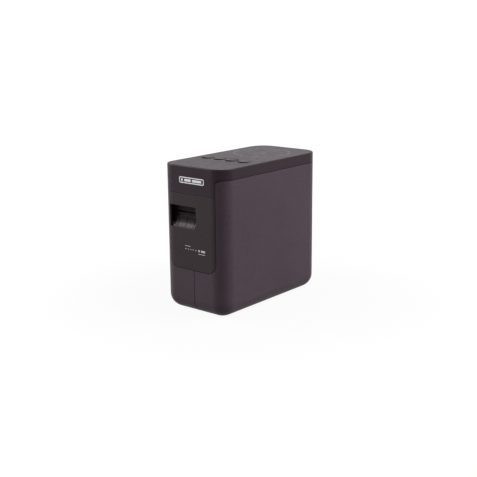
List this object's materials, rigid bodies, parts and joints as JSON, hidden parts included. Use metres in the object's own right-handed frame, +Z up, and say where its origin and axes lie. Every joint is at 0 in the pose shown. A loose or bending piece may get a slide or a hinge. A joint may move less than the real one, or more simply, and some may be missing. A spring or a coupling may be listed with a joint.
{
  "type": "label maker",
  "caption": "Upright desktop label maker that prints, cuts and feeds adhesive tape from a front exit; side door over the cassette, buttons on top, battery tray below.",
  "frame": {"origin": "under the middle of the body, on the surface that the feet stand on", "axes": "+X to the right seen from the front, +Y from the front with the tape exit to the rear, +Z up"},
  "size_m": [0.078, 0.152, 0.1438],
  "materials": {
    "shell_plastic": "fine moulded texture, satin",
    "trim_plastic": "fine moulded texture, satin black",
    "button_plastic": "smooth satin",
    "inner_plastic": "plain moulded black",
    "foot_rubber": "matt moulded rubber",
    "platen_rubber": "ground silicone rubber",
    "bright_steel": "ground",
    "zinc_plate": "zinc plated sheet",
    "gear_plastic": "moulded acetal",
    "case_plastic": "moulded grey",
    "label_film": "smooth laminated film",
    "circuit_board": "solder mask",
    "cell_sleeve": "printed film sleeve without lettering",
    "heat_sink_aluminium": "extruded",
    "head_ceramic": "glazed bar"
  },
  "bodies": {
    "housing": {"right_shell": "shell_plastic", "rear_panel": "shell_plastic", "front_panel": "trim_plastic", "top_cover": "trim_plastic", "exit_chute": "inner_plastic", "base_plate": "inner_plastic", "battery_box": "inner_plastic", "chassis": "inner_plastic", "dc_jack": "inner_plastic", "foot_front_left": "foot_rubber", "foot_front_right": "foot_rubber", "foot_rear_left": "foot_rubber", "foot_rear_right": "foot_rubber", "cover_hinge_pin": "bright_steel", "holder_pivot_pin": "bright_steel", "holder_spring": "bright_steel", "fixed_blade": "bright_steel", "blade_pivot_pin": "bright_steel", "usb_socket": "bright_steel", "gear_plate": "zinc_plate", "drive_motor": "zinc_plate", "cutter_frame": "zinc_plate", "cutter_motor": "zinc_plate", "contact_front": "zinc_plate", "contact_rear": "zinc_plate", "ribbon_supply_spool": "gear_plastic", "cassette_case": "case_plastic", "cassette_lid": "case_plastic", "label_tape": "label_film", "key_board": "circuit_board", "antenna_board": "circuit_board", "main_board": "circuit_board", "cell_front_1": "cell_sleeve", "cell_front_2": "cell_sleeve", "cell_front_3": "cell_sleeve", "cell_rear_1": "cell_sleeve", "cell_rear_2": "cell_sleeve", "cell_rear_3": "cell_sleeve", "heat_sink": "heat_sink_aluminium", "print_head": "head_ceramic"},
    "tape_cover": {"tape_cover": "shell_plastic"},
    "power_button": {"power_button": "button_plastic"},
    "wireless_button": {"wireless_button": "button_plastic"},
    "feed_button": {"feed_button": "button_plastic"},
    "cut_button": {"cut_button": "button_plastic"},
    "battery_cover": {"battery_cover": "inner_plastic"},
    "roller_holder": {"roller_holder": "zinc_plate"},
    "platen": {"platen_roller": "platen_rubber", "platen_shaft": "bright_steel", "platen_gear": "gear_plastic"},
    "small_idler": {"idler_gear_small": "gear_plastic"},
    "large_idler": {"idler_gear_large": "gear_plastic"},
    "motor_pinion": {"motor_pinion": "bright_steel"},
    "ribbon_drive": {"ribbon_drive": "gear_plastic", "ribbon_take_up_spool": "gear_plastic"},
    "tape_roll": {"tape_core": "gear_plastic", "tape_roll": "label_film"},
    "moving_blade": {"moving_blade": "bright_steel"},
    "cutter_gear": {"cutter_gear": "gear_plastic"}
  },
  "joints": [
    {"name": "tape_cover_hinge", "type": "hinge", "parent": "housing", "child": "tape_cover", "pos_m": [-0.037, 0.055, 0], "axis": [0, 0, -1], "range_deg": [0, 90]},
    {"name": "power_button_press", "type": "slide", "parent": "housing", "child": "power_button", "axis": [0, 0, -1], "range_m": [0, 0.0006], "stiffness_N_per_m": 1500},
    {"name": "wireless_button_press", "type": "slide", "parent": "housing", "child": "wireless_button", "axis": [0, 0, -1], "range_m": [0, 0.0006], "stiffness_N_per_m": 1500},
    {"name": "feed_button_press", "type": "slide", "parent": "housing", "child": "feed_button", "axis": [0, 0, -1], "range_m": [0, 0.0006], "stiffness_N_per_m": 1500},
    {"name": "cut_button_press", "type": "slide", "parent": "housing", "child": "cut_button", "axis": [0, 0, -1], "range_m": [0, 0.0006], "stiffness_N_per_m": 1500},
    {"name": "battery_cover_slide", "type": "slide", "parent": "housing", "child": "battery_cover", "axis": [0, 1, 0], "range_m": [0, 0.008]},
    {"name": "roller_holder_tilt", "type": "hinge", "parent": "housing", "child": "roller_holder", "pos_m": [0, -0.04, 0.123], "axis": [-1, 0, 0], "range_deg": [0, 5]},
    {"name": "platen_spin", "type": "hinge", "parent": "roller_holder", "child": "platen", "pos_m": [0, -0.052, 0.10315], "axis": [1, 0, 0], "continuous": true},
    {"name": "small_idler_spin", "type": "hinge", "parent": "housing", "child": "small_idler", "pos_m": [0, -0.0384, 0.09295], "axis": [1, 0, 0], "continuous": true},
    {"name": "large_idler_spin", "type": "hinge", "parent": "housing", "child": "large_idler", "pos_m": [0, -0.01916, 0.08229], "axis": [1, 0, 0], "continuous": true},
    {"name": "motor_pinion_spin", "type": "hinge", "parent": "housing", "child": "motor_pinion", "pos_m": [0, -0.00216, 0.08229], "axis": [1, 0, 0], "continuous": true},
    {"name": "ribbon_drive_spin", "type": "hinge", "parent": "housing", "child": "ribbon_drive", "pos_m": [0, -0.014, 0.064], "axis": [1, 0, 0], "continuous": true},
    {"name": "tape_roll_spin", "type": "hinge", "parent": "housing", "child": "tape_roll", "pos_m": [0, 0.018, 0.0768], "axis": [1, 0, 0], "continuous": true},
    {"name": "moving_blade_swing", "type": "hinge", "parent": "housing", "child": "moving_blade", "pos_m": [0.006, -0.0666, 0.099], "axis": [0, -1, 0], "range_deg": [0, 12]},
    {"name": "cutter_gear_turn", "type": "hinge", "parent": "housing", "child": "cutter_gear", "pos_m": [0.023, -0.0669, 0.099], "axis": [0, -1, 0], "range_deg": [-29, 0.2]}
  ],
  "couplings": [
    {"joint": "small_idler_spin", "follows": "platen_spin", "ratio": -0.7},
    {"joint": "large_idler_spin", "follows": "platen_spin", "ratio": 0.58333},
    {"joint": "ribbon_drive_spin", "follows": "platen_spin", "ratio": -1},
    {"joint": "motor_pinion_spin", "follows": "platen_spin", "ratio": -1.4},
    {"joint": "tape_roll_spin", "follows": "platen_spin", "ratio": -0.275},
    {"joint": "roller_holder_tilt", "follows": "tape_cover_hinge", "ratio": 0.055556},
    {"joint": "cutter_gear_turn", "follows": "moving_blade_swing", "ratio": -2.4}
  ]
}
